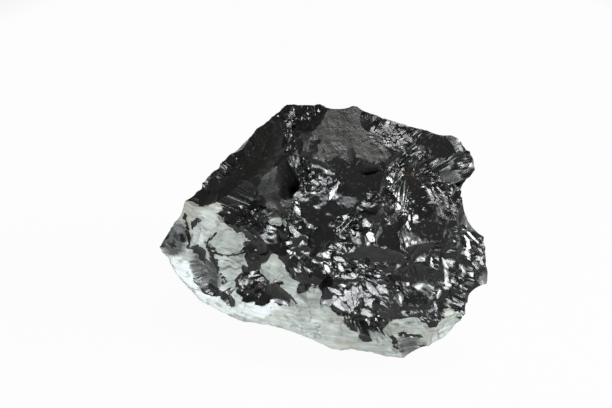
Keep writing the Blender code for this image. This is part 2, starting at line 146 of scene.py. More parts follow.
class Lump:
    """The cuts, in mm from the heart. A cut is given in the axes of the side that it is seen from."""

    def __init__(self):
        self.cuts = []
        rng = np.random.default_rng(GRAIN_SEED)
        along = rng.normal(size=(GRAIN_WAVES, 3))
        length = np.exp(rng.uniform(math.log(GRAIN_SHORT), math.log(GRAIN_LONG), GRAIN_WAVES))
        turns = 2 * math.pi * MEAN_RADIUS / length
        self.waves = along / np.linalg.norm(along, axis=1)[:, None] * turns[:, None]
        self.swell = np.concatenate([length, length]) / np.linalg.norm(length)
        self.rng = rng

    def add(self, centre, normal, shape, finish, rough, **shock):
        grain = rough * self.swell * self.rng.normal(size=2 * GRAIN_WAVES)
        self.cuts.append(Cut(centre, normal, shape, finish, grain, **shock))

    def face(self, at, facing, view=FRONT, finish=GLOSS, rough=0.35):
        """A flat fracture through a point."""
        self.add(np.array(at) @ view, unit(np.array(facing) @ view), None, finish, rough)

    def rim(self, start, end, near, lean, finish=GLOSS):
        """A flat fracture that ends the show side between two points of its outline, clockwise."""
        (x1, y1), (x2, y2) = start, end
        across, rise = x2 - x1, y2 - y1
        size = math.hypot(across, rise)
        middle = ((x1 + x2) / 2, (y1 + y2) / 2, near)
        self.face(middle, (-rise / size, across / size, lean), finish=finish, rough=0.3)

    def hollow(self, centre, facing, wide, deep, stretch, way, finish, rough, **shock):
        """A concave scar: the cap, wide and deep, of an ellipsoid stretched one way."""
        radius = (wide**2 + deep**2) / (2 * deep)
        way = unit(way - facing * (way @ facing))
        shape = np.array([way / stretch, np.cross(facing, way), facing]) / radius
        self.add(centre + facing * radius, facing, shape, finish, rough, mouth=wide / radius, **shock)

    def flake(
        self, at, wide, deep, facing=None, stretch=1.0, roll=0.0, view=FRONT, finish=GLOSS, rough=0.2, **shock
    ):
        """A scar struck where the eye's line through (right, up) meets what the cuts so far left."""
        hit, last = self.struck(at, view)
        facing = unit(np.array(facing) @ view) if facing else self.normal(last, hit)
        across = unit(view[0] - facing * (view[0] @ facing))
        roll = math.radians(roll)
        way = across * math.cos(roll) + np.cross(facing, across) * math.sin(roll)
        self.hollow(hit - facing * deep, facing, wide, deep, stretch, way, finish, rough, **shock)

    def nick(self, at, wide, deep, facing, near, stretch=3.0, finish=GLOSS, rough=0.2):
        """A bite out of the show side's outline, which runs on behind it. at is its deepest point."""
        bottom = np.array([*at, near]) @ FRONT
        toward = unit(np.array([*facing, 0.0]) @ FRONT)
        self.hollow(bottom, toward, wide, deep, stretch, FRONT[2], finish, rough)

    def chip(self, at, facing, wide, deep, stretch, way, finish):
        """A small plain scar, tried only on the directions round it."""
        self.hollow(at - facing * deep, facing, wide, deep, stretch, way, finish, 0.0)
        spread = 1.3 * stretch * wide / np.linalg.norm(at)
        self.cuts[-1].window = (unit(at), math.cos(min(spread, 1.0)))

    def struck(self, at, view):
        reach = np.linspace(60, -60, 481)
        points = np.array(at) @ view[:2] + reach[:, None] * view[2]
        distance = np.linalg.norm(points, axis=1)
        surface, last = self.carve(points / distance[:, None])[:2]
        first = int(np.argmax(distance < surface))
        return points[first], last[first]

    def normal(self, index, point):
        cut = self.cuts[index]
        return cut.normal if cut.shape is None else unit((cut.centre - point) @ cut.shape.T @ cut.shape)

    def carve(self, directions):
        """How far the stone reaches along each direction, which cut ends it there, and how much
        further the next cut would have let it reach."""
        phase = directions @ self.waves.T
        waves = np.concatenate([np.sin(phase), np.cos(phase)], axis=1)
        best = np.full(len(directions), 1e3)
        second = best.copy()
        last = np.zeros(len(directions), int)
        for index, cut in enumerate(self.cuts):
            if cut.window:
                toward, least = cut.window
                here = np.flatnonzero(directions @ toward > least)
                reach = cut.reach(directions[here])
            else:
                here = slice(None)
                reach = cut.reach(directions) + waves @ cut.grain
            nearer = reach < best[here]
            second[here] = np.where(nearer, best[here], np.minimum(second[here], reach))
            last[here] = np.where(nearer, index, last[here])
            best[here] = np.where(nearer, reach, best[here])
        return best, last, second - best


def cut_block(lump):
    """The big faces of the show side; points and facings are (right, up, near)."""
    lump.face((5.6, 19.3, 17), (0.02, 0.36, 0.93), finish=DULL, rough=0.12)  # flat dull top
    lump.face((-7.8, 16.8, 17.5), (-0.55, 0.50, 0.66), rough=0.15)  # flank
    lump.face((-11.4, 7.2, 17), (-0.40, 0.02, 0.92))  # left middle
    lump.face((3.2, 1.1, 22), (-0.02, -0.14, 1.0))  # brow
    lump.face((-21.3, -18.1, -1), (-0.48, -0.36, 0.80), finish=CRUST)  # left shoulder
    lump.face((-7.8, -14.7, 12), (-0.18, -0.62, 0.76))  # low left
    lump.face((-17.5, -18.1, 1.3), (-0.44, -0.74, 0.51), finish=CRUST, rough=0.3)
    lump.face((-0.5, -19.0, 10.2), (-0.33, -0.78, 0.54), finish=CRUST, rough=0.3)
    lump.face((5.6, -21.9, 8), (-0.22, -0.80, 0.56), finish=CRUST, rough=0.3)
    lump.face((12.8, -17.1, 11), (0.05, -0.58, 0.81))  # low front
    lump.face((26.2, 7.2, 16), (0.36, 0.16, 0.92))  # right
    lump.face((31.0, -6.2, 13), (0.46, -0.20, 0.86))  # right middle
    lump.face((29.8, -22.9, 6), (0.45, -0.66, 0.60), finish=CRUST)  # right foot


def cut_outline(lump):
    """The rim of the show side, clockwise from its left tip, then the bites out of it."""
    lump.rim((-40.0, -3.3), (-39.0, -1.3), -5, -0.3, CRUST)
    lump.rim((-39.0, -1.3), (-33.5, 7.6), -1.5, -0.15, CRUST)
    lump.rim((-33.5, 7.6), (-25.2, 15.6), 2.7, -0.35)
    lump.rim((-25.2, 15.6), (-14.5, 27.0), 3.2, -0.35)
    lump.rim((-14.5, 27.0), (-6.1, 30.8), 5, -0.35)
    lump.rim((-6.1, 30.8), (-3.6, 30.9), 7.7, -0.3)
    lump.rim((-3.6, 30.9), (7.0, 29.8), 11.5, -0.28)
    lump.rim((7.0, 29.8), (31.5, 22.8), 12.5, -0.28)
    lump.rim((31.5, 22.8), (34.4, 20.2), 10.5, -0.3)
    lump.rim((34.4, 20.2), (36.6, 16.8), 9, -0.3)
    lump.rim((36.6, 16.8), (40.0, -8.8), 7.5, -0.25)
    lump.rim((40.0, -8.8), (39.5, -12.5), 5.8, -0.3)
    lump.rim((39.5, -12.5), (31.0, -24.8), 4, -0.35)
    lump.rim((31.0, -24.8), (20.6, -31.3), 1, -0.25, CRUST)
    lump.rim((20.6, -31.3), (3.2, -29.2), -1.5, -0.1, CRUST)
    lump.rim((3.2, -29.2), (-19.9, -22.3), -3, -0.1, CRUST)
    lump.rim((-19.9, -22.3), (-29.6, -17.6), -7, -0.1, CRUST)
    lump.rim((-29.6, -17.6), (-37.3, -7.9), -9, -0.1, CRUST)
    lump.rim((-37.3, -7.9), (-40.0, -3.3), -8, -0.1, CRUST)

    lump.nick((-36.6, 0.8), 2.2, 0.8, (-0.85, 0.53), -5, finish=CRUST)
    lump.nick((-28.8, 10.7), 2.4, 0.5, (-0.70, 0.71), -2)
    lump.nick((-25.9, 13.8), 1.7, 0.4, (-0.80, 0.60), -1)
    lump.nick((-18.4, 21.1), 3.9, 0.7, (-0.73, 0.68), 2)
    lump.nick((-22.8, 17.3), 2.2, 0.4, (-0.73, 0.68), 2)
    lump.nick((-11.9, 27.4), 2.2, 0.4, (-0.40, 0.92), 6)
    lump.nick((3.2, 28.8), 4.1, 1.3, (0.10, 0.99), 10)
    lump.nick((18.4, 25.2), 12.1, 1.3, (0.28, 0.96), 12)
    lump.nick((11.2, 27.8), 3.4, 0.4, (0.38, 0.92), 12)
    lump.nick((28.1, 22.8), 2.9, 0.5, (0.20, 0.98), 11)
    lump.nick((33.3, 7.9), 8.2, 3.8, (0.99, -0.05), -4, stretch=4, rough=0.3)
    lump.nick((34.5, 2.1), 5.3, 1.5, (0.85, 0.50), -3, stretch=4)
    lump.nick((37.7, -1.8), 2.9, 0.6, (0.85, 0.50), -3)
    lump.nick((35.6, -14.8), 3.9, 1.5, (0.75, -0.66), 0)
    lump.nick((33.3, -19.5), 3.2, 1.0, (0.85, -0.50), -4)
    lump.nick((26.9, -27.0), 1.9, 0.7, (0.55, -0.83), -2)
    lump.nick((24.0, -29.1), 1.7, 0.3, (0.55, -0.83), -2)
    lump.nick((9.5, -29.1), 5.8, 1.0, (-0.10, -0.99), 0, finish=CRUST)
    lump.nick((-8.7, -24.2), 10.7, 1.3, (-0.28, -0.96), -3, finish=CRUST)
    lump.nick((-37.1, -6.8), 1.5, 0.7, (-0.80, -0.60), -8, finish=CRUST)


def cut_back(lump):
    """The big faces that the show side hides, in the lump's own x, y and z, and the flat base."""
    base = (0, 0, -HEART[2])
    lump.face(base, (0, 0, -1), WORLD, finish=DULL, rough=0)
    lump.face((0, 33, 0), (0.12, 0.98, 0.12), WORLD)
    lump.face((6, 23, 17), (0.10, 0.80, 0.59), WORLD)
    lump.face((-24, 21, 0), (-0.60, 0.79, 0.12), WORLD)
    lump.face((-22, 18, -18), (-0.45, 0.60, -0.66), WORLD, CRUST)
    lump.face((27, 24, 0), (0.62, 0.77, 0.15), WORLD)
    lump.face((26, 18, -19), (0.65, 0.35, -0.67), WORLD)
    lump.face((2, 29, -20), (0.05, 0.75, -0.66), WORLD, CRUST)
    lump.face((-33, 0, -15), (-0.72, 0.10, -0.68), WORLD, CRUST)
    lump.face((33, -2, -18), (0.68, -0.10, -0.73), WORLD)
    lump.face((0, -17.5, -27.5), (0.0, -0.62, -0.78), WORLD, CRUST)


def strike_flank(lump):
    """The dark upper left and the rough cap over it."""
    lump.flake((-16.5, 19.3), 9.9, 2.1, (-0.58, 0.45, 0.68), 1.2, 42, ripple=(0.05, 5), blow=0)
    lump.flake((-26.7, 8.6), 6.5, 1.5, (-0.60, 0.52, 0.60), 1.5, 45, hackle=(0.09, 22), blow=180)
    lump.flake((-4.8, 21.6), 4.9, 0.3, (-0.07, 0.37, 0.93), 1.3, -62, finish=DULL, rough=0.05)
    lump.flake((-7.8, 26.5), 2.9, 0.4, (-0.20, 0.58, 0.80), 1.4, rough=0.5)


def strike_middle(lump):
    """The great hollow and the scoops and steps round it."""
    lump.flake((-2.2, -1.2), 9.4, 1.5, (-0.12, 0.08, 1.0), 1.2, 82, hackle=(0.04, 34), blow=0)  # great hollow
    lump.flake((-1.0, -7.9), 6.3, 1.5, (-0.20, -0.25, 1.0), 1.1)
    lump.flake((7.2, 9.0), 4.2, 0.4, (0.0, 0.24, 0.97), 1.3, 5)  # step under the dull top
    lump.flake((15.9, -1.2), 5.9, 2.7, (0.10, 0.02, 1.0), 1.4, 78, hackle=(0.03, 40), blow=0)  # middle scoop
    lump.flake((6.5, -3.3), 4.8, 0.7, (-0.12, -0.10, 1.0), 1.15, 60, rough=0.5)
    lump.flake((-1.9, 11.3), 3.4, 0.7, (-0.15, 0.0, 1.0), 1.3, -35, rough=0.5)
    lump.flake((-6.1, 12.7), 2.2, 0.5, (-0.35, 0.20, 0.90), 1.6, 55, rough=0.5)
    lump.flake((-11.2, 6.9), 4.6, 0.5, (-0.38, 0.10, 0.92), 1.2, 90, finish=DULL)
    lump.flake((-12.4, -2.5), 4.1, 1.0, (-0.35, -0.05, 0.92), 1.4, 80, ripple=(0.02, 3))


def strike_right(lump):
    """The knob, the hooded scoop, the dish below it, the bulge and the four flutes."""
    lump.flake((26.9, 19.3), 4.1, 1.0, (0.12, 0.20, 0.97), 2.0, -14, ripple=(0.04, 4), blow=180)
    lump.flake((26.2, 15.9), 3.2, 1.0, (0.10, -0.35, 0.93), 2.2, -8)
    lump.flake((17.5, 22.9), 3.4, 0.7, (0.08, 0.55, 0.83), 1.6, -18, rough=0.5)
    lump.flake((21.6, 11.0), 5.6, 1.9, (0.12, -0.05, 0.99), 1.35, 84, hackle=(0.14, 36), blow=0)  # hooded scoop
    lump.flake((27.0, 0.8), 6.4, 1.1, (0.10, 0.04, 0.99), 1.2, ripple=(0.02, 4))  # dish
    lump.flake((27.2, 8.6), 3.4, 1.0, (0.45, 0.30, 0.80), 1.6, -55, hackle=(0.16, 20), blow=180)
    lump.flake((30.8, 7.2), 2.2, 0.5, (0.55, 0.25, 0.80), 1.6, -60)
    lump.flake((30.1, 13.5), 2.4, 0.6, (0.35, -0.15, 0.92), 1.3, -10)
    lump.flake((34.4, 16.8), 2.2, 0.5, (0.60, 0.10, 0.80), 1.6, 80, rough=0.5)
    lump.flake((35.9, -4.0), 3.6, 1.0, (0.72, 0.25, 0.62), 1.9, -62, hackle=(0.08, 16), blow=180)
    lump.flake((37.8, -9.8), 2.9, 0.7, (0.75, -0.15, 0.60), 1.3, 80)
    lump.flake((22.3, -9.7), 2.8, 1.5, (0.12, -0.12, 0.98), 2.1, 76)  # flutes, left to right
    lump.flake((26.4, -9.9), 2.5, 1.5, (0.24, -0.10, 0.97), 2.6, 86)
    lump.flake((30.0, -11.2), 2.4, 1.5, (0.36, -0.12, 0.93), 3.0, 92)
    lump.flake((34.0, -10.6), 2.9, 1.3, (0.52, -0.10, 0.85), 2.1, 98)


def strike_low_front(lump):
    """The eave, the bright broken band under it and the crusted foot."""
    lump.flake((4.8, -13.0), 5.3, 1.5, (0.0, -0.75, 0.66), 1.6, 8)  # eave
    lump.flake((8.2, -10.8), 3.6, 0.9, (0.05, -0.12, 0.99), 1.9, -30)
    lump.flake((17.4, -10.2), 3.2, 0.9, (0.12, -0.14, 0.98), 1.4, -35, hackle=(0.06, 26), blow=0)
    lump.flake((15.0, -14.2), 3.4, 0.6, (0.10, -0.30, 0.95), 1.5, -40, hackle=(0.16, 26), blow=0)
    lump.flake((9.9, -17.0), 5.6, 0.6, (0.01, -0.27, 0.96), 1.2, rough=0.3)
    lump.flake((4.4, -17.1), 3.4, 0.7, (-0.14, -0.36, 0.92), rough=0.5)
    lump.flake((12.6, -23.0), 4.2, 0.9, (0.06, -0.44, 0.90), 1.3, -38, hackle=(0.16, 30), blow=180)
    lump.flake((22.1, -16.4), 4.4, 1.1, (0.12, 0.06, 0.99), ripple=(0.03, 3), blow=90)
    lump.flake((28.6, -18.5), 3.4, 0.7, (0.35, -0.28, 0.90), rough=0.4)
    lump.flake((19.4, -26.1), 5.3, 1.0, (0.05, -0.70, 0.72), finish=CRUST)
    lump.flake((21.3, -28.2), 2.9, 1.0, (0.20, -0.72, 0.66), finish=CRUST)
    lump.flake((30.3, -23.9), 3.6, 0.7, (0.55, -0.60, 0.60), finish=CRUST)


def strike_left(lump):
    """The folds and the leaf-shaped crusted scars of the left."""
    lump.flake((-18.4, 0.8), 4.1, 1.0, (-0.33, 0.08, 0.92), 1.4, -35, hackle=(0.09, 22), blow=180)
    lump.flake((-19.2, 4.0), 1.9, 0.4, (-0.40, 0.10, 0.90), 1.7, 20, rough=0.5)
    lump.flake((-9.7, -12.0), 2.9, 0.7, (-0.28, -0.50, 0.82), 2.2, -50, finish=CRUST)
    lump.flake((-17.0, -14.2), 3.6, 1.0, (-0.38, -0.48, 0.80), 1.3, -40, rough=0.5)
    lump.flake((-11.9, -14.4), 2.7, 0.7, (-0.25, -0.60, 0.75), 1.8, -35)
    lump.flake((-1.7, -15.6), 3.2, 0.7, (-0.15, -0.65, 0.75), 1.3, -15, finish=CRUST)
    lump.flake((-23.0, -2.8), 3.2, 0.7, (-0.35, -0.25, 0.90), 1.75, -6, finish=CRUST)
    lump.flake((-27.6, 1.6), 2.2, 0.4, (-0.45, -0.05, 0.88), 1.2, 60, finish=CRUST)
    lump.flake((-22.1, -10.3), 3.6, 0.7, (-0.50, -0.38, 0.80), 1.5, -75, finish=CRUST)
    lump.flake((-32.0, -1.6), 3.4, 0.7, (-0.60, -0.10, 0.78), 1.6, -75, finish=CRUST)
    lump.flake((-36.6, -2.5), 1.5, 0.3, (-0.60, 0.0, 0.80), 1.4, 40, finish=CRUST)
    lump.flake((-28.3, -10.8), 3.4, 0.8, (-0.44, -0.30, 0.85), 1.6, -62, rough=0.1)


def strike_far_sides(lump):
    """The scars of the back, left and right; each faces as the stone did where it was struck."""
    for at, wide, deep, stretch, roll, finish in (
        ((6, 4), 15, 3.6, 1.25, 20, GLOSS),
        ((21, 0), 9, 2.0, 1.3, 60, GLOSS),
        ((-12, 9), 11, 2.4, 1.3, -35, GLOSS),
        ((-19, -7), 9, 2.0, 1.4, 70, GLOSS),
        ((-3, -12), 11, 2.4, 1.4, 5, GLOSS),
        ((13, -15), 8, 1.5, 1.5, -20, GLOSS),
        ((10, 17), 7, 1.4, 1.4, 15, GLOSS),
        ((-23, 5), 5, 1.3, 1.5, 80, GLOSS),
        ((-8, -20), 5, 1.2, 1.8, 10, GLOSS),
        ((-6, 19), 5, 1.0, 1.8, -10, GLOSS),
    ):
        lump.flake(at, wide, deep, None, stretch, roll, BACK, finish, ripple=(0.05, 0.4 * wide), blow=160)
    for at, wide, deep, stretch, roll, finish in (
        ((-20, 1), 7, 1.5, 1.4, 70, GLOSS),
        ((-22, -12), 6, 1.2, 1.4, 30, GLOSS),
        ((-21, 12), 5, 1.0, 1.5, 60, GLOSS),
        ((-14, -18), 6, 1.2, 1.6, 0, CRUST),
    ):
        lump.flake(at, wide, deep, None, stretch, roll, LEFT, finish, ripple=(0.05, 0.4 * wide), blow=160)
    for at, wide, deep, stretch, roll, finish in (
        ((16, 0), 7, 2.0, 1.3, 60, GLOSS),
        ((0, -14), 6, 1.6, 1.4, -20, GLOSS),
        ((20, 10), 6, 1.4, 1.4, 70, GLOSS),
        ((14, -19), 5, 1.2, 1.5, 10, GLOSS),
    ):
        lump.flake(at, wide, deep, None, stretch, roll, RIGHT, finish, ripple=(0.05, 0.4 * wide), blow=160)


def knapped_lump():
    lump = Lump()
    for step in (
        cut_block,
        cut_outline,
        cut_back,
        strike_flank,
        strike_middle,
        strike_right,
        strike_low_front,
        strike_left,
        strike_far_sides,
    ):
        step(lump)
    return lump



# (right, up, near), the ways to the bright hearts of the lamps, which the facets mirror
RIGHT_HEART, HIGH_HEART, BACK_HEART = (0.94, 0.23, 0.24), (0.62, 0.53, 0.58), (0.13, 0.85, 0.50)
LEFT_HEART, FRONT_HEART = (-0.55, -0.45, 0.70), (0.02, -0.48, 0.87)
MIRRORED = (RIGHT_HEART, HIGH_HEART, BACK_HEART, LEFT_HEART, FRONT_HEART)
GLINT_FADE = 1.5  # share of a glint's size at which its facet ends
GLINT_TURN = 24  # degrees, the most that a facet is turned
GLINT_MOST = 0.5  # mm, how far a facet may move the surface
# Facets that mirror a lamp: (right, up) of the middle, half its length and width in mm, the turn
# of its length in degrees, and how far its facing leans off, (right, up).
GLINTS = (
    # flank band, cap and the broken band of the top
    ((-9.0, 24.1), (1.5, 0.4), -68, (0, 0)),
    ((-1.6, 28.7), (1.0, 0.3), -39, (0, 0)),
    ((14.1, 19.5), (1.0, 0.4), -72, (0, 0)),
    # hood: its foot, its apex and its right leg
    ((16.1, 12.2), (1.2, 0.5), -69, (0, 0)),
    ((21.1, 17.5), (1.8, 0.3), 42, (0, 0)),
    ((25.2, 14.9), (2.4, 0.3), -63, (0.03, 0)),
    # streaks right of the hood
    ((25.5, 8.4), (2.8, 0.9), -72, (0, 0)),
    ((28.6, 8.8), (2.3, 0.4), -45, (0.02, 0)),
    ((31.4, 9.6), (1.3, 0.4), -58, (0, 0)),
    ((29.8, 6.2), (1.3, 0.4), -63, (0, 0)),
    ((24.4, 4.8), (0.9, 0.5), -59, (0, 0)),
    ((23.9, 3.3), (1.0, 0.4), -63, (0, 0)),
    ((18.3, 5.7), (1.0, 0.5), -63, (0, 0)),
    ((20.4, 1.1), (1.2, 0.4), -76, (0, 0)),
    # tip of the knob
    ((33.2, 19.8), (0.7, 0.4), 90, (0, 0)),
    ((33.7, 17.7), (0.6, 0.4), 90, (0, 0)),
    ((33.6, 15.5), (1.1, 0.4), -82, (0, 0)),
    # small scoops under the flank, and the ridge below them
    ((-3.5, 14.8), (1.1, 0.4), -67, (0, 0)),
    ((-1.7, 11.2), (1.1, 0.6), -40, (0, 0)),
    ((-0.4, 12.4), (0.7, 0.4), -45, (0, 0)),
    ((2.4, 8.8), (2.0, 0.5), 67, (0, 0)),
    ((-5.9, 4.6), (1.4, 0.6), -61, (0, 0)),
    ((-6.1, 6.5), (0.6, 0.4), -56, (0, 0)),
    ((-9.0, 1.7), (1.1, 0.4), -74, (0, 0)),
    ((-12.2, 2.4), (0.7, 0.5), -45, (0, 0)),
    # middle scoop and mound
    ((10.4, 1.7), (1.2, 0.6), -60, (0, 0)),
    ((11.4, -1.5), (1.7, 0.8), -61, (0, 0)),
    ((7.2, -0.2), (1.1, 0.4), -67, (0, 0)),
    ((4.6, 1.3), (1.8, 0.2), 39, (0, 0)),
    ((5.8, 1.0), (2.3, 0.2), 47, (0, 0)),
    # rim of the great hollow
    ((-6.8, -0.2), (1.8, 0.6), -54, (-0.03, 0)),
    ((4.0, -7.0), (1.3, 0.5), -18, (0, 0)),
    ((1.2, -9.3), (1.3, 0.5), -63, (0, 0)),
    ((4.5, -9.0), (1.2, 0.6), -54, (0, 0)),
    ((-7.8, -5.3), (0.8, 0.4), -37, (0, 0)),
    # bulge
    ((35.9, -1.5), (2.9, 0.5), -43, (0, 0)),
    ((35.0, -4.7), (3.0, 1.0), -72, (0, 0)),
    ((36.7, -8.6), (1.1, 0.4), -50, (0, 0)),
    ((37.9, -4.8), (1.2, 0.4), -54, (0, 0)),
    # flutes
    ((21.2, -8.4), (2.3, 0.5), -66, (0, 0)),
    ((26.2, -9.5), (3.0, 0.4), 90, (-0.04, 0)),
    ((29.5, -8.1), (2.0, 0.5), -70, (0, 0)),
    ((29.9, -12.8), (2.7, 0.6), -87, (0, 0)),
    ((28.1, -15.0), (2.3, 0.5), 77, (0, 0)),
    ((33.9, -9.5), (1.5, 0.6), -56, (0, 0)),
    # bright broken band
    ((12.1, -14.5), (2.3, 0.7), -47, (0, 0)),
    ((3.3, -14.8), (1.7, 0.6), -24, (0, 0)),
    ((3.0, -16.7), (1.1, 0.5), -82, (0, 0)),
    ((5.6, -15.8), (1.5, 0.3), 90, (0, 0)),
    ((9.2, -16.4), (3.1, 0.5), 90, (0, 0)),
    ((11.4, -17.0), (1.9, 0.5), -4, (0, 0)),
    ((10.4, -19.9), (2.0, 0.8), -20, (-0.03, 0)),
    ((5.9, -18.8), (1.5, 0.5), -49, (0, 0)),
    ((8.0, -14.3), (1.1, 0.5), -40, (0, 0)),
    ((14.5, -22.5), (2.4, 0.3), -56, (0, 0)),
    # under the flutes
    ((19.5, -10.8), (1.5, 0.4), -34, (0, 0)),
    ((20.4, -13.1), (0.7, 0.5), 14, (0, 0)),
    ((22.9, -14.0), (0.9, 0.3), -13, (-0.03, 0)),
    ((26.2, -16.0), (2.4, 0.3), -56, (0, 0)),
    ((27.3, -18.3), (1.4, 0.4), -84, (0, 0)),
    ((30.3, -20.2), (1.0, 0.3), -72, (0, 0)),
    ((24.7, -25.6), (1.4, 0.3), 37, (0, 0)),
    ((19.3, -26.2), (2.2, 0.4), 65, (0, 0)),
    # left
    ((-16.4, -10.8), (1.0, 0.6), -39, (0, 0)),
)
# Broken ground on the show side: (right, up) of its middle, half its length and width, the turn of its
# grain in degrees, how many chips it holds, how wide they are, how far askew they lie and what share of
# its blocks mirrors a lamp.
BROKEN = (
    ((-8, 27.5), (6, 1.6), 20, 20, 0.7, 0.25, 0.15),  # rough cap
    ((-26.5, 11.3), (2.6, 2.2), 47, 4, 1.5, 0.12, 0.0),  # rim of the flank
    ((-21.8, 15.8), (2.6, 2.2), 47, 4, 1.5, 0.12, 0.0),
    ((-17.0, 20.4), (2.6, 2.4), 47, 4, 1.5, 0.12, 0.0),
    ((-7.6, 22), (0.9, 5.0), -60, 24, 0.5, 0.3, 0.4),  # edge of the flank
    ((16.6, 23.0), (5.6, 3.2), -20, 70, 0.45, 0.15, 0.8),  # bright band right of the dull top
    ((34.3, 17.5), (1.8, 3.6), 10, 30, 0.7, 0.25, 0.3),  # tip of the knob
    ((-4.6, 13.5), (2.0, 3.6), 55, 30, 0.45, 0.25, 0.08),  # ridge under the flank
    ((-0.2, 11.4), (3.4, 2.0), -10, 8, 0.7, 0.15, 0.1),  # three small scoops
    ((-8.0, 4), (1.2, 8.5), 3, 40, 0.5, 0.2, 0.16),  # ridge right of the dull facets
    ((6.0, 1.4), (3.2, 2.0), 40, 24, 0.5, 0.2, 0.2),  # mound
    ((10.5, -8.2), (7, 1.1), -28, 30, 0.4, 0.25, 0.5),  # ridge under the mound
    ((24.2, 16.6), (1.2, 1.8), -50, 10, 0.45, 0.2, 0.5),
    ((26.4, 14.0), (1.2, 1.8), -50, 10, 0.45, 0.2, 0.5),  # right leg of the hood
    ((20.4, 16.6), (1.7, 1.5), 46, 15, 0.45, 0.2, 0.5),
    ((17.8, 14.0), (1.7, 1.7), 46, 15, 0.45, 0.2, 0.5),  # left leg of the hood
    ((29.0, 8.6), (3.0, 2.6), -60, 24, 0.9, 0.2, 0.35),
    ((38.2, -4), (1.0, 6), 20, 20, 0.7, 0.2, 0.4),  # edge of the bulge
    ((9.5, -17.2), (7, 3.2), 80, 30, 1.2, 0.12, 0.9),  # bright broken band
    ((14.0, -13.6), (5.0, 1.8), -38, 20, 0.6, 0.2, 0.5),
    ((13, -23.5), (5, 2.4), -50, 50, 0.6, 0.2, 0.12),
    ((24, -20.5), (5, 1.4), 15, 30, 0.6, 0.15, 0.05),
    ((34, -17.5), (1.6, 5), -35, 34, 0.8, 0.25, 0.3),
    ((-17, -13.2), (3.4, 2.6), -8, 24, 0.8, 0.25, 0.2),  # rough dark hollow left of the front
    ((-17.6, 3.2), (5.2, 3.0), -30, 40, 0.8, 0.25, 0.06),  # folds
    ((13, 7.0), (3.0, 1.4), 45, 20, 0.6, 0.2, 0.3),
    ((8.0, -10.6), (6.5, 1.3), -10, 20, 0.4, 0.2, 0.25),
    ((31.8, -1.4), (1.7, 1.7), -40, 6, 0.5, 0.15, 0.0),
    ((4.6, -4.4), (3.2, 1.3), -38, 16, 0.4, 0.2, 0.4),  # lower edge of the mound
)
LIT_ASKEW = 0.03  # how far off its lamp a block may face
EDGE_CHIPS = 260  # on creases all round
CHIP_DEEP = 0.14  # share of its width
BLOCK_SEED = 23
BLOCKS = 0.55  # how many blocks share an area of size x size
BLOCK_LONG = 2.3  # times as long as wide
BLOCK_MOST = 0.6  # mm, how far a block may stand out or in


def fine_ball():
    """Directions and quads of a cube blown up to a ball, denser towards the eye."""
    steps = np.arange(CUBE_CELLS + 1)
    sides, quads = [], []
    for axis in range(3):
        for end in (0, CUBE_CELLS):
            first, second = np.meshgrid(steps, steps, indexing="ij")
            side = np.empty((first.size, 3), int)
            side[:, axis] = end
            side[:, (axis + 1) % 3] = first.ravel()
            side[:, (axis + 2) % 3] = second.ravel()
            corner = (first[:-1, :-1] * (CUBE_CELLS + 1) + second[:-1, :-1]).ravel()
            corner = corner + len(sides) * first.size
            quad = [corner, corner + CUBE_CELLS + 1, corner + CUBE_CELLS + 2, corner + 1]
            quads.append(np.stack(quad if end else quad[::-1], axis=1))
            sides.append(side)
    lattice, where = np.unique(np.concatenate(sides), axis=0, return_inverse=True)
    ball = rows(np.tan((lattice / CUBE_CELLS * 2 - 1) * math.pi / 4))
    return rows(ball + TOWARD_EYE * FRONT[2]), where.reshape(-1)[np.concatenate(quads)]


def edges_of(faces):
    ends = np.concatenate([faces[:, [i, (i + 1) % faces.shape[1]]] for i in range(faces.shape[1])])
    return np.unique(np.sort(ends, axis=1), axis=0)


def on_creases(lump, directions, edges):
    """The directions, the nearer end of every edge that crosses a crease moved onto the crease."""
    last = lump.carve(directions)[1]
    crossing = edges[last[edges[:, 0]] != last[edges[:, 1]]]
    start, end = directions[crossing[:, 0]], directions[crossing[:, 1]]
    low, high = np.zeros(len(crossing)), np.ones(len(crossing))
    for _ in range(6):
        middle = (low + high) / 2
        met = lump.carve(rows(start + (end - start) * middle[:, None]))[1]
        before = met == last[crossing[:, 0]]
        low, high = np.where(before, middle, low), np.where(before, high, middle)
    crease = rows(start + (end - start) * low[:, None])
    nearer = np.where(low < 0.5, crossing[:, 0], crossing[:, 1])
    shortest_last = np.argsort(-np.minimum(low, 1 - low))
    directions = directions.copy()
    directions[nearer[shortest_last]] = crease[shortest_last]
    return directions


def split_quads(lump, directions, quads):
    """Triangles, each quad split along the diagonal whose middle lies nearer to the stone."""
    points = directions * lump.carve(directions)[0][:, None]
    reach = lump.carve(rows(directions[quads].sum(axis=1)))[0]
    one = np.linalg.norm(points[quads[:, 0]] + points[quads[:, 2]], axis=1) / 2
    other = np.linalg.norm(points[quads[:, 1]] + points[quads[:, 3]], axis=1) / 2
    first = (np.abs(one - reach) < np.abs(other - reach))[:, None]
    upper = np.where(first, quads[:, [0, 1, 2]], quads[:, [0, 1, 3]])
    lower = np.where(first, quads[:, [0, 2, 3]], quads[:, [1, 2, 3]])
    return np.concatenate([upper, lower])


def point_normals(points, faces):
    """Area-weighted normals of the points."""
    normals = np.zeros_like(points)
    crosses = np.cross(points[faces[:, 1]] - points[faces[:, 0]], points[faces[:, 2]] - points[faces[:, 0]])
    for corner in range(faces.shape[1]):
        for axis in range(3):
            normals[:, axis] += np.bincount(faces[:, corner], crosses[:, axis], len(points))
    return rows(normals)


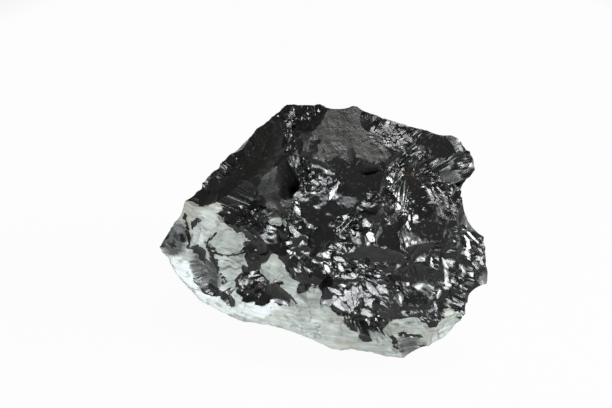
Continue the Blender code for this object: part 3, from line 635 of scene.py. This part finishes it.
def broken_share(points, normals):
    """0 to 1, how rough the ground is at each point."""
    right, up, near = (points @ FRONT.T).T
    share = np.zeros(len(points))
    for middle, (long, wide), *_ in BROKEN:
        a, b = right - middle[0], up - middle[1]
        share = np.maximum(share, smooth_step(1.5, 0.6, np.hypot(a / long, b / wide)))
    facing = smooth_step(-0.1, 0.2, normals @ FRONT[2])
    far = smooth_step(0.35, 0.9, Waves(21, 9, 24).at(points)) * (1 - facing)
    return np.maximum(share * facing, far)


def strike_chips(lump, directions, quads):
    """Small scars over the broken ground, along its grain, and any way along the creases."""
    rng = np.random.default_rng(CHIP_SEED)
    reach, last, spare = lump.carve(directions)
    points = directions * reach[:, None]
    normals = point_normals(points, quads)
    right, up, _ = (points @ FRONT.T).T
    seen = normals @ FRONT[2] > 0.15
    for (x, y), (long, wide), turn, count, size, askew, _ in BROKEN:
        spots = np.flatnonzero(seen & (np.hypot((right - x) / long, (up - y) / wide) < 1))
        turn = math.radians(turn)
        grain = math.cos(turn) * FRONT[0] + math.sin(turn) * FRONT[1]
        for spot in rng.choice(spots, count):
            chip_at(lump, rng, points[spot], normals[spot], size, askew, grain, lump.cuts[last[spot]].finish)
    above = points[:, 2] > 1.5 - HEART[2]
    edge = np.flatnonzero((spare < 0.12) & above)
    for spot in rng.choice(edge, EDGE_CHIPS):
        grain = rng.normal(size=3)
        chip_at(lump, rng, points[spot], normals[spot], 0.8, 0.3, grain, lump.cuts[last[spot]].finish)


def chip_at(lump, rng, point, normal, size, askew, grain, finish):
    tilt = rng.normal(size=3) * askew
    way = unit(grain) + rng.normal(size=3) * 0.25
    wide = size * rng.choice((0.5, 0.7, 1.0, 1.5))
    deep = CHIP_DEEP * wide * rng.uniform(0.6, 1.4)
    lump.chip(point, unit(normal + tilt), wide, deep, rng.uniform(1.2, 3.0), way, finish)


def turned(points, middle, turn):
    """(right, up) of points from a middle, turned so that the first runs along a length."""
    turn = math.radians(turn)
    right, up = points @ FRONT[0] - middle[0], points @ FRONT[1] - middle[1]
    return right * math.cos(turn) + up * math.sin(turn), up * math.cos(turn) - right * math.sin(turn)


def mirror_facings():
    """The way a facet must face to mirror each bright lamp, one a row."""
    return rows(rows(np.array(MIRRORED)) + np.array([0, 0, 1])) @ FRONT


def tilt(points, here, share, spot, normal, facing, most, flat):
    """Bends the surface round a spot, by a share at each point, to face another way. flat also takes
    out its hollows."""
    off = points[here] - spot
    slope = facing / (normal @ facing)
    gap = off @ (slope if flat else slope - normal)
    points[here] -= np.outer(np.clip(gap, -most, most) * share, normal)


def shatter(points, normals):
    """Breaks the rough ground into small blocks that lie a little askew, many of them to a lamp."""
    rng = np.random.default_rng(BLOCK_SEED)
    mirrors = mirror_facings()
    for (x, y), (long, wide), turn, _, size, askew, lit in BROKEN:
        right, up = points @ FRONT[0] - x, points @ FRONT[1] - y
        away = np.hypot(right / long, up / wide)
        here = np.flatnonzero((away < 1.25) & (normals @ FRONT[2] > 0.1))
        a, b = turned(points[here], (x, y), turn)
        place = np.stack([a / BLOCK_LONG, b], axis=1)
        count = int(BLOCKS * long * wide / size**2) + 2
        seeds = rng.choice(len(here), count)
        nearest = np.argmin(((place[:, None] - place[seeds]) ** 2).sum(axis=2), axis=1)
        for block in range(count):
            mine = here[nearest == block]
            if len(mine) < 3:
                continue
            normal = unit(normals[mine].mean(axis=0))
            mirror = mirrors[np.argmax(mirrors @ normal)]
            shines = rng.uniform() < lit
            pull, askew_now = (1.0, LIT_ASKEW) if shines else (rng.uniform(0.0, 0.5), askew)
            facing = unit(normal + pull * (mirror - normal) + rng.normal(size=3) * askew_now)
            share = smooth_step(1.25, 0.9, away[mine])
            tilt(points, mine, share, points[mine].mean(axis=0), normal, facing, BLOCK_MOST, shines)
    return points


def face_lamps(points, normals):
    """Turns the facet of each glint to the lamp that it can mirror with the least bending."""
    mirrors = mirror_facings()
    for middle, (long, wide), turn, (lean_right, lean_up) in GLINTS:
        a, b = turned(points, middle, turn)
        away = np.hypot(a / long, b / wide)
        here = np.flatnonzero((away < GLINT_FADE) & (normals @ FRONT[2] > 0.1))
        if len(here) < 3:
            continue
        spot = here[np.argmin(away[here])]
        normal = unit(normals[here].mean(axis=0))
        mirror = mirrors[np.argmax(mirrors @ normal)]
        turn = math.acos(min(mirror @ normal, 1))
        facing = normal + (mirror - normal) * min(1, GLINT_TURN / math.degrees(turn))
        facing = unit(facing + lean_right * FRONT[0] + lean_up * FRONT[1])
        share = smooth_step(GLINT_FADE, 0.9, away[here])
        tilt(points, here, share, points[spot], normal, facing, GLINT_MOST, True)
    return points


# Where the show side's crust and dull coal go beyond whole fractures: (right, up), half its length and
# width, turn in degrees.
CRUST_PATCHES = (
    ((-29.5, 2.0), (4.0, 2.0), 60),
    ((-11.0, 2.0), (1.8, 0.9), 0),
    ((-24.0, -12.0), (8.5, 3.5), -72),
    ((30.3, 13.2), (2.3, 1.7), -20),
    ((32.6, 10.9), (1.5, 1.1), -30),
    ((20.0, -25.0), (5.6, 3.6), 10),
    ((30.3, -23.8), (3.4, 2.4), 40),
    ((26.4, -26.4), (2.6, 2.6), 0),
    ((-33.0, -8.0), (9.0, 3.2), -50),
)
DULL_PATCHES = (((-11.2, 6.2), (3.8, 4.4), 0),)
BARE_PATCHES = (
    ((-17.0, -13.6), (4.0, 3.6), -20),
    ((-13.0, -14.4), (5.8, 1.5), -40),
    ((-5.0, -1.2), (3.2, 2.0), -30),
    ((21.4, -25.6), (3.2, 0.6), -12),
    ((17.6, -27.4), (0.6, 1.9), 10),
    ((-4.4, -13.6), (1.2, 2.0), -50),
    ((24.4, -28.0), (0.8, 0.6), 0),
    ((-5.0, -7.4), (7.0, 4.0), -47),
    ((-32.6, -1.0), (0.6, 3.4), 8),
    ((-30.9, -5.8), (0.5, 2.4), -20),
    ((-37.4, -1.2), (1.5, 0.6), 30),
    ((-39.0, -3.2), (0.6, 1.3), 0),
    ((-25.8, -5.3), (2.2, 0.3), -25),
    ((-22.0, -6.2), (2.4, 0.32), 3),
    ((-18.8, -4.9), (1.8, 0.4), 40),
    ((-25.1, -9.6), (7.6, 0.55), -65),
    ((-20.4, 1.0), (3.6, 1.5), -28),
    ((-26.7, -1.9), (2.2, 0.35), 52),
    ((-15.2, -5.0), (3.0, 4.2), -35),
    ((-16.8, 1.0), (3.0, 3.4), 0),
    ((-30.8, 1.5), (1.6, 0.7), 60),
    ((-33.5, 3.0), (0.9, 0.6), 20),
    ((-38.0, 0.4), (1.0, 0.5), 0),
    ((-39.0, -2.0), (0.6, 0.8), 0),
    ((-36.4, -3.8), (1.4, 0.5), -10),
    ((-26.2, -15.2), (6.0, 1.3), -33),
    ((-36.8, 1.6), (1.6, 0.5), 40),
    ((-34.2, -1.2), (0.5, 1.8), 15),
    ((-18.0, -3.4), (1.0, 0.6), 0),
    ((-16.4, -8.5), (1.4, 4.2), 12),
    ((33.5, -17.0), (2.6, 3.0), 50),
)
RUST_PATCHES = (
    ((20.5, 12.5), (2.6, 2.2), 0),
    ((16.0, 3.6), (3.4, 2.4), 40),
    ((24.0, 14.0), (2.0, 1.2), -60),
    ((27.0, 6.0), (2.0, 1.6), 0),
)
# How pale the crust is, 0 to 1, over the 0.55 of the rest: middle, half size, turn, tone. The first row is partly
# painted light: pale crust, made palest to paint on the light table's glow from below.
TONES_AND_PAINTED_LIGHT = (
    # painted light: pale crust raised to the palest tone to paint on the light table's glow from below
    ((-28.8, -13.6), (11.0, 2.4), -40, 1.0),  # bluish strip along the lower left
    ((-19.9, -17.7), (10.0, 3.2), -8, 0.86),
    ((-4.0, -23.6), (9.0, 3.6), -20, 0.64),
    ((9.0, -28.0), (6.0, 2.4), -18, 0.5),
    ((-28.5, 0.5), (4.4, 2.6), 60, 0.72),  # mint patch over the leaf
    ((-22.8, -3.0), (5.3, 2.9), -8, 0.54),  # leaf
    ((-21.8, -9.5), (3.6, 4.4), 0, 0.58),
    ((-28.3, -10.6), (2.9, 4.9), 28, -0.05),  # glassy pocket
    ((-36.5, -1.8), (3.6, 4.6), 0, 0.0),  # tip
    ((-10.0, -12.0), (6.0, 2.2), -48, 0.52),  # beige leaf
    ((-1.7, -15.8), (4.0, 2.6), -15, 0.3),
    ((20.5, -25.5), (6.4, 4.2), 10, 0.48),
    ((20.8, -28.0), (2.8, 2.2), 0, 0.1),  # smooth grey hollow
    ((30.3, 13.2), (2.8, 2.2), -20, -0.15),  # grey patches under the knob
    ((32.6, 10.9), (1.9, 1.5), -30, -0.1),
)
# Dark cracks in the crust: half the width in mm, then points (right, up).
CRACKS = (
    (0.30, ((-27.9, -3.2), (-26.2, -5.2), (-22.8, -6.1), (-19.8, -5.4), (-17.7, -3.8))),  # under the leaf
    (0.12, ((-27.9, -3.2), (-25.5, -0.8), (-22.5, -0.2), (-19.5, -1.2), (-17.7, -3.8))),
    (0.35, ((-28.4, -2.5), (-26.0, -8.5), (-23.6, -13.0), (-21.8, -16.6))),  # double line by the pocket
    (0.15, ((-27.4, -4.5), (-24.9, -9.5), (-22.6, -13.5))),
    (0.40, ((-32.0, -7.9), (-29.5, -12.0), (-26.0, -15.2), (-21.8, -18.3))),  # lower edge of the pocket
    (0.30, ((-31.5, -9.6), (-29.6, -9.0), (-27.6, -9.8))),  # lens shapes in the pocket
    (0.25, ((-30.8, -11.6), (-28.8, -10.8), (-26.6, -11.4))),
    (0.10, ((-23.5, -7.5), (-21.0, -7.9), (-18.2, -7.2))),  # fine lines under the leaf
    (0.10, ((-24.0, -9.2), (-21.5, -9.6), (-18.6, -9.0))),
    (0.30, ((-33.9, 2.4), (-31.6, 0.6), (-31.8, -2.2), (-33.4, -5.0))),  # beside the tip
    (0.25, ((-38.0, 0.0), (-36.0, -1.4), (-36.6, -4.0))),
    (0.35, ((15.2, -25.4), (16.6, -23.2), (19.6, -22.2), (23.6, -22.6), (26.8, -24.2))),  # round the foot
    (0.60, ((17.6, -29.2), (18.0, -26.6), (20.4, -25.4), (23.4, -25.8), (24.4, -27.4))),
)
CRACK_DEEP = 0.16  # mm
BED_TURN = (0.0, 0.25, 0.0)  # radians, how the beds of the crust lie


def patch_share(right, up, patches):
    """0 to 1 inside a list of ragged ellipses."""
    share = np.zeros(len(right))
    for (x, y), (long, wide), turn in patches:
        turn = math.radians(turn)
        a = (right - x) * math.cos(turn) + (up - y) * math.sin(turn)
        b = (up - y) * math.cos(turn) - (right - x) * math.sin(turn)
        share = np.maximum(share, smooth_step(1.12, 0.95, np.hypot(a / long, b / wide)))
    return share


def tone_share(right, up, seen):
    """How pale the crust is at each point, with the light table's glow painted on as palest tone along the lower left
    strip.
    """
    tone = np.full(len(right), 0.55)
    for (x, y), (long, wide), turn, pale in TONES_AND_PAINTED_LIGHT:
        share = patch_share(right, up, (((x, y), (long, wide), turn),)) * seen
        tone = tone + (pale - tone) * share
    return tone


def crack_share(right, up):
    """0 to 1 where a crack runs."""
    share = np.zeros(len(right))
    for half, line in CRACKS:
        for (x1, y1), (x2, y2) in zip(line, line[1:]):
            run, rise = x2 - x1, y2 - y1
            part = np.clip(((right - x1) * run + (up - y1) * rise) / (run**2 + rise**2), 0, 1)
            away = np.hypot(right - x1 - part * run, up - y1 - part * rise)
            share = np.maximum(share, smooth_step(half + 0.2, half * 0.6, away))
    return share


def finishes(lump, points, normals, last):
    """How far each point is dull coal, crust and cracked, how pale its crust is and how rusty, 0 to 1."""
    kind = np.array([(GLOSS, DULL, CRUST).index(cut.finish) for cut in lump.cuts])[last]
    ragged = Waves(31, 0.8, 5).at(points)[:, None] * 0.35 * normals
    right, up, _ = ((points + ragged) @ FRONT.T).T
    seen = smooth_step(-0.05, 0.1, normals @ FRONT[2])
    bare = patch_share(right, up, BARE_PATCHES) * seen
    crust = np.maximum(kind == 2, patch_share(right, up, CRUST_PATCHES) * seen) * (1 - bare)
    dull = np.maximum(kind == 1, patch_share(right, up, DULL_PATCHES) * seen) * (1 - crust)
    rust = patch_share(right, up, RUST_PATCHES) * seen
    return dull, crust, crack_share(right, up) * crust * seen, tone_share(right, up, seen), rust


def relief(points, dull, crust, rough):
    """The small unevenness of each finish, in mm."""
    fine, coarse = Waves(41, 0.7, 1.8), Waves(42, 1.8, 5)
    beds = Waves(43, 0.5, 1.2)
    layered = beds.at(points @ np.diag([0.15, 0.15, 1.0]))
    height = 0.010 * fine.at(points) + 0.03 * coarse.at(points)
    height += rough * 0.07 * np.abs(Waves(44, 0.8, 2.4).at(points))
    height += crust * (0.10 + 0.035 * layered + 0.05 * coarse.at(points[:, [1, 2, 0]]))
    return height * (1 - 0.6 * dull)


def build_lump():
    """The lump's points, triangles and the shares of its finishes at each point."""
    lump = knapped_lump()
    directions, quads = fine_ball()
    strike_chips(lump, directions, quads)
    directions = on_creases(lump, directions, edges_of(quads))
    faces = split_quads(lump, directions, quads)
    reach, last, spare = lump.carve(directions)
    points = directions * reach[:, None]
    normals = point_normals(points, faces)
    dull, crust, crack, tone, rust = finishes(lump, points, normals, last)
    strike = np.zeros_like(points)
    for index in np.unique(last):
        mine = last == index
        strike[mine] = lump.cuts[index].strike(points[mine], index)
    rough = broken_share(points, normals)
    base = points[:, 2] < 0.01 - HEART[2]
    high = (relief(points, dull, crust, rough) - CRACK_DEEP * crack) * ~base
    points = points + normals * high[:, None]
    points = face_lamps(shatter(points, normals), normals)
    points[:, 2] = np.maximum(points[:, 2], -HEART[2])
    edge = np.exp(-spare / 0.15)
    shares = {"dull": dull, "crust": crust, "rough": rough, "edge": edge, "crack": crack, "tone": tone}
    return points, faces, shares | {"rust": rust}, strike


def lump_object():
    points, faces, shares, strike = build_lump()
    mesh = bpy.data.meshes.new("coal_stone")
    mesh.vertices.add(len(points))
    mesh.vertices.foreach_set("co", ((points + HEART) * MM).astype(np.float32).ravel())
    mesh.loops.add(faces.size)
    mesh.loops.foreach_set("vertex_index", faces.ravel())
    mesh.polygons.add(len(faces))
    mesh.polygons.foreach_set("loop_start", np.arange(0, faces.size, 3))
    for name, share in shares.items():
        layer = mesh.attributes.new(name, "FLOAT", "POINT")
        layer.data.foreach_set("value", share.astype(np.float32))
    layer = mesh.attributes.new("strike", "FLOAT_VECTOR", "POINT")
    layer.data.foreach_set("vector", strike.astype(np.float32).ravel())
    mesh.update(calc_edges=True)
    mesh.validate()
    mesh.shade_smooth()
    mesh.set_sharp_from_angle(angle=math.radians(CREASE))
    stone = bpy.data.objects.new("coal_stone", mesh)
    bpy.context.scene.collection.objects.link(stone)
    return stone


class Nodes:
    """A material's node tree, with short calls that add a node and link its inputs."""

    def __init__(self, name):
        self.material = bpy.data.materials.new(name)
        self.material.use_nodes = True
        self.tree = self.material.node_tree
        self.shader = self.tree.nodes["Principled BSDF"]

    def add(self, kind, settings=(), **inputs):
        node = self.tree.nodes.new("ShaderNode" + kind)
        for name, value in dict(settings).items():
            setattr(node, name, value)
        for name, value in inputs.items():
            self.set(node, name.replace("_", " "), value)
        return node

    def set(self, node, name, value):
        socket = next(s for s in node.inputs if s.name == name and s.enabled)
        if isinstance(value, bpy.types.NodeSocket):
            self.tree.links.new(value, socket)
        else:
            socket.default_value = value

    def share(self, name):
        return self.add("Attribute", {"attribute_name": name}).outputs["Fac"]

    def noise(self, scale, detail=4.0, roughness=0.55, vector=None, **more):
        node = self.add("TexNoise", Scale=scale, Detail=detail, Roughness=roughness, **more)
        if vector is not None:
            self.set(node, "Vector", vector)
        return node.outputs["Fac"]

    def math(self, operation, first, second=0.0, third=None):
        node = self.add("Math", {"operation": operation})
        for socket, value in zip(node.inputs, (first, second, third)):
            if isinstance(value, bpy.types.NodeSocket):
                self.tree.links.new(value, socket)
            elif value is not None:
                socket.default_value = value
        return node.outputs[0]

    def remap(self, value, low, high, to_low=0.0, to_high=1.0):
        node = self.add("MapRange", {"clamp": True})
        for name, number in (
            ("Value", value),
            ("From Min", low),
            ("From Max", high),
            ("To Min", to_low),
            ("To Max", to_high),
        ):
            self.set(node, name, number)
        return node.outputs["Result"]

    def blend(self, share, first, second):
        """A colour between two, which are sockets or (red, green, blue)."""
        node = self.add("Mix", {"data_type": "RGBA"})
        for name, value in (("Factor", share), ("A", first), ("B", second)):
            self.set(node, name, value if isinstance(value, (bpy.types.NodeSocket, float)) else (*value, 1))
        return next(s for s in node.outputs if s.enabled)

    def mix(self, share, first, second):
        """A number between two."""
        return self.math("ADD", first, self.math("MULTIPLY", self.math("SUBTRACT", second, first), share))

    def bump(self, height, depth, under=None):
        node = self.add("Bump", Height=height, Distance=depth, Strength=1.0)
        if under is not None:
            self.set(node, "Normal", under)
        return node.outputs["Normal"]


def stone_material():
    """Glossy coal, dull coal and mineral crust, told apart by the mesh's shares."""
    n = Nodes("coal_stone")
    place = n.add("TexCoord").outputs["Object"]
    dull, crust, rough, edge, crack, tone, rust = (
        n.share(name) for name in ("dull", "crust", "rough", "edge", "crack", "tone", "rust")
    )
    strike = n.add("Attribute", {"attribute_name": "strike"}).outputs["Vector"]

    # colour
    coal = n.blend(n.noise(90, vector=place), (0.0025, 0.0026, 0.0025), (0.0055, 0.0055, 0.005))
    grey = n.blend(n.remap(n.noise(500, 6, 0.7, vector=place), 0.35, 0.65), (0.0014, 0.0014, 0.0012), (0.006, 0.006, 0.005))
    mottle = n.math("MULTIPLY", n.math("SUBTRACT", n.noise(160, 6, 0.7, vector=place), 0.5), 0.8)
    beds = n.add("Mapping", {"vector_type": "POINT"}, Vector=place, Rotation=BED_TURN, Scale=(0.12, 0.12, 1.0))
    beds = n.noise(1500, 3, 0.6, vector=beds.outputs["Vector"])
    mottle = n.math("ADD", mottle, n.math("MULTIPLY", n.math("SUBTRACT", beds, 0.5), 0.7))
    shade = n.math("ADD", tone, mottle)
    warm = n.math("MULTIPLY", n.remap(n.noise(60, 3, vector=place), 0.5, 0.65), 0.5)
    mint = n.blend(warm, (0.12, 0.13, 0.118), (0.145, 0.13, 0.104))
    pale = n.blend(n.remap(shade, 0, 0.55), (0.012, 0.013, 0.013), mint)
    # tones over 0.55 go towards the palest crust; along the lower left strip this is painted light from the table
    # below
    pale = n.blend(n.remap(shade, 0.55, 1.05), pale, (0.255, 0.272, 0.268))
    spots = n.remap(n.noise(420, 4, 0.65, vector=place), 0.57, 0.64)
    pale = n.blend(n.math("MULTIPLY", spots, 0.5), pale, (0.04, 0.043, 0.04))
    broken = n.remap(n.noise(330, 4, vector=place), 0.4, 0.6)
    seam = n.math("MULTIPLY", n.remap(edge, 0.45, 0.95), 0.6)
    seam = n.math("MULTIPLY", n.math("MAXIMUM", seam, crack), broken)
    pale = n.blend(seam, pale, (0.014, 0.014, 0.013))
    ragged = n.math("SUBTRACT", n.noise(300, 5, vector=place), 0.5)
    crusted = n.remap(n.math("ADD", crust, n.math("MULTIPLY", ragged, 0.9)), 0.42, 0.58)
    dust = n.remap(n.noise(1300, 2, 0.6, vector=place), 0.58, 0.68)
    dust = n.math("MULTIPLY", dust, n.remap(n.noise(140, 3, vector=place), 0.4, 0.65, 0.1, 0.7))
    coal = n.blend(dust, coal, (0.022, 0.022, 0.021))
    colour = n.blend(n.remap(dull, 0.3, 0.7), coal, grey)
    specks = n.math("MULTIPLY", rust, n.remap(n.noise(1100, 4, 0.7, vector=place), 0.57, 0.66, 0.0, 0.7))
    colour = n.blend(specks, colour, (0.036, 0.016, 0.008))
    n.set(n.shader, "Base Color", n.blend(crusted, colour, pale))

    # gloss
    shine = n.remap(n.noise(150, 5, vector=place), 0.35, 0.7, 0.07, 0.16)
    matte = n.remap(n.noise(350, 5, vector=place), 0.3, 0.7, 0.28, 0.42)
    matte = n.mix(n.remap(n.noise(1700, 2, vector=place), 0.56, 0.64), matte, 0.5)
    dry = n.remap(n.math("ADD", tone, n.noise(200, 3, vector=place)), 0.65, 0.95, 0.45, 0.75)
    crushed = n.math("MULTIPLY", n.math("MAXIMUM", rough, edge), n.remap(n.noise(500, 4, 0.6, vector=place), 0.4, 0.6))
    shine = n.mix(crushed, shine, 0.23)
    shine = n.mix(dust, shine, 0.4)
    shine = n.mix(dull, shine, matte)
    n.set(n.shader, "Roughness", n.mix(crusted, shine, dry))
    n.shader.inputs["IOR"].default_value = 1.3

    # fine relief: lines that fan out from the blow of each scar, wisps on broken ground, and grain
    fan = n.add("Mapping", {"vector_type": "POINT"}, Vector=strike, Scale=(16.0, 16.0, 1.6))
    lines = n.noise(1.0, 4, 0.65, vector=fan.outputs["Vector"])
    normal = n.bump(lines, 0.00002)
    wisp = n.noise(700, 3, 0.5, vector=place, Distortion=1.5)
    wisp = n.math("ABSOLUTE", n.math("SUBTRACT", wisp, 0.5))
    normal = n.bump(n.math("MULTIPLY", wisp, n.math("ADD", n.math("MULTIPLY", rough, 0.12), 0.03)), 0.0003, normal)
    grain = n.math("ADD", crust, n.math("MULTIPLY", dull, 0.6))
    normal = n.bump(n.math("MULTIPLY", n.noise(900, 4, vector=place), n.math("ADD", grain, 0.02)), 0.0002, normal)
    n.set(n.shader, "Normal", normal)
    return n.material


FRAME_WIDTH = 612  # pixels
PIXEL = 80 / 330  # mm of the lump per pixel of the picture
HEART_SPOT = (322, 229.5)  # pixels, where the heart falls in the picture
PICTURE = (612, 408)
LENS, SENSOR = 250, 36  # mm
TABLE = 4.0  # m, half its width
LAMPS = (  # name, (right, up, near), away and size in mm, brightness, colour
    ("right_heart", RIGHT_HEART, 900, (210, 210), 64, (1.0, 1.0, 0.98)),
    ("right_halo", (0.93, 0.15, 0.30), 930, (700, 450), 11, (0.90, 0.96, 1.0)),
    ("high_heart", HIGH_HEART, 900, (150, 150), 64, (1.0, 1.0, 0.98)),
    ("high_halo", (0.60, 0.50, 0.62), 930, (330, 330), 8, (0.90, 0.96, 1.0)),
    ("back_heart", BACK_HEART, 900, (260, 190), 56, (1.0, 1.0, 1.0)),
    ("left_heart", LEFT_HEART, 900, (200, 200), 64, (1.0, 1.0, 1.0)),
    ("left_halo", (-0.45, -0.48, 0.75), 930, (800, 400), 9.5, (0.84, 0.93, 1.0)),
    ("front_heart", FRONT_HEART, 900, (220, 160), 64, (1.0, 1.0, 1.0)),
    ("front_halo", (0.0, -0.50, 0.86), 930, (640, 320), 14, (0.90, 0.96, 1.0)),
)


def add_camera():
    data = bpy.data.cameras.new("camera")
    data.lens, data.sensor_width = LENS, SENSOR
    right, up, near = FRONT
    target = HEART + right * (PICTURE[0] / 2 - HEART_SPOT[0]) * PIXEL
    target = target + up * (HEART_SPOT[1] - PICTURE[1] / 2) * PIXEL
    distance = PICTURE[0] * PIXEL * LENS / SENSOR
    data.clip_start, data.clip_end = 0.01, 10
    camera = bpy.data.objects.new("camera", data)
    camera.location = (target + near * distance) * MM
    camera.rotation_euler = (math.radians(90 - LOOK_DOWN), 0, 0)
    bpy.context.scene.collection.objects.link(camera)
    bpy.context.scene.camera = camera


def add_lamp(name, toward, away, size, glow, colour):
    """A soft lamp that faces the heart. toward is (right, up, near), away and size are in mm, and glow
    is its brightness where a white floor is 1."""
    data = bpy.data.lights.new(name, "AREA")
    data.shape = "RECTANGLE"
    data.size, data.size_y = size[0] * MM, size[1] * MM
    data.energy, data.color = glow * math.pi * data.size * data.size_y, colour
    lamp = bpy.data.objects.new(name, data)
    direction = unit(np.array(toward) @ FRONT)
    lamp.location = (HEART + direction * away) * MM
    lamp.rotation_euler = Vector(direction).to_track_quat("Z", "Y").to_euler()
    bpy.context.scene.collection.objects.link(lamp)


def add_floor():
    """A light table: pale, lit from within, and a little dimmer away from the lump."""
    mesh = bpy.data.meshes.new("light_table")
    corners = [(x * TABLE, y * TABLE, 0) for x, y in ((-1, -1), (1, -1), (1, 1), (-1, 1))]
    mesh.from_pydata(corners, [], [(0, 1, 2, 3)])
    n = Nodes("light_table")
    place = n.add("TexCoord").outputs["Object"]
    away = n.add("VectorMath", {"operation": "LENGTH"}, Vector=place).outputs["Value"]
    n.set(n.shader, "Emission Strength", n.remap(away, 0.14, 0.22, 0.953, 0.35))
    for name, value in (
        ("Base Color", (0.01, 0.01, 0.01, 1)),
        ("Roughness", 0.9),
        ("Specular IOR Level", 0.0),
        ("Emission Color", (1.0, 1.0, 0.998, 1)),
    ):
        n.shader.inputs[name].default_value = value
    mesh.materials.append(n.material)
    floor = bpy.data.objects.new("light_table", mesh)
    bpy.context.scene.collection.objects.link(floor)


def add_room():
    """A dim studio, a little lighter towards the horizon."""
    world = bpy.data.worlds.new("studio")
    world.use_nodes = True
    tree = world.node_tree
    place = tree.nodes.new("ShaderNodeTexCoord").outputs["Generated"]
    split = tree.nodes.new("ShaderNodeSeparateXYZ")
    tree.links.new(place, split.inputs[0])
    height = tree.nodes.new("ShaderNodeMapRange")
    tree.links.new(split.outputs["Z"], height.inputs["Value"])
    for name, value in (("From Min", 0.0), ("From Max", 0.6), ("To Min", 0.28), ("To Max", 0.06)):
        height.inputs[name].default_value = value
    tree.links.new(height.outputs["Result"], tree.nodes["Background"].inputs["Strength"])
    tree.nodes["Background"].inputs["Color"].default_value = (1.0, 1.0, 0.95, 1)
    bpy.context.scene.world = world
    bpy.context.scene.view_settings.view_transform = "Standard"
    for lamp in LAMPS:
        add_lamp(*lamp)


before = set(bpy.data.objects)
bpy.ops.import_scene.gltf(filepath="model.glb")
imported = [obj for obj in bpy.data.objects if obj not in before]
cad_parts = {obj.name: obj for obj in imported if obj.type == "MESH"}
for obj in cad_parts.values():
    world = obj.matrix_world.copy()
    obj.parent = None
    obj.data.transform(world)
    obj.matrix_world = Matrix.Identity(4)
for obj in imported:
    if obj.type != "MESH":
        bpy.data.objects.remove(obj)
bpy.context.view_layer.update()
add_camera()
add_floor()
add_room()
stone = lump_object()
stone.data.materials.append(stone_material())
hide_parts("coal_lump")
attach(stone, "root")
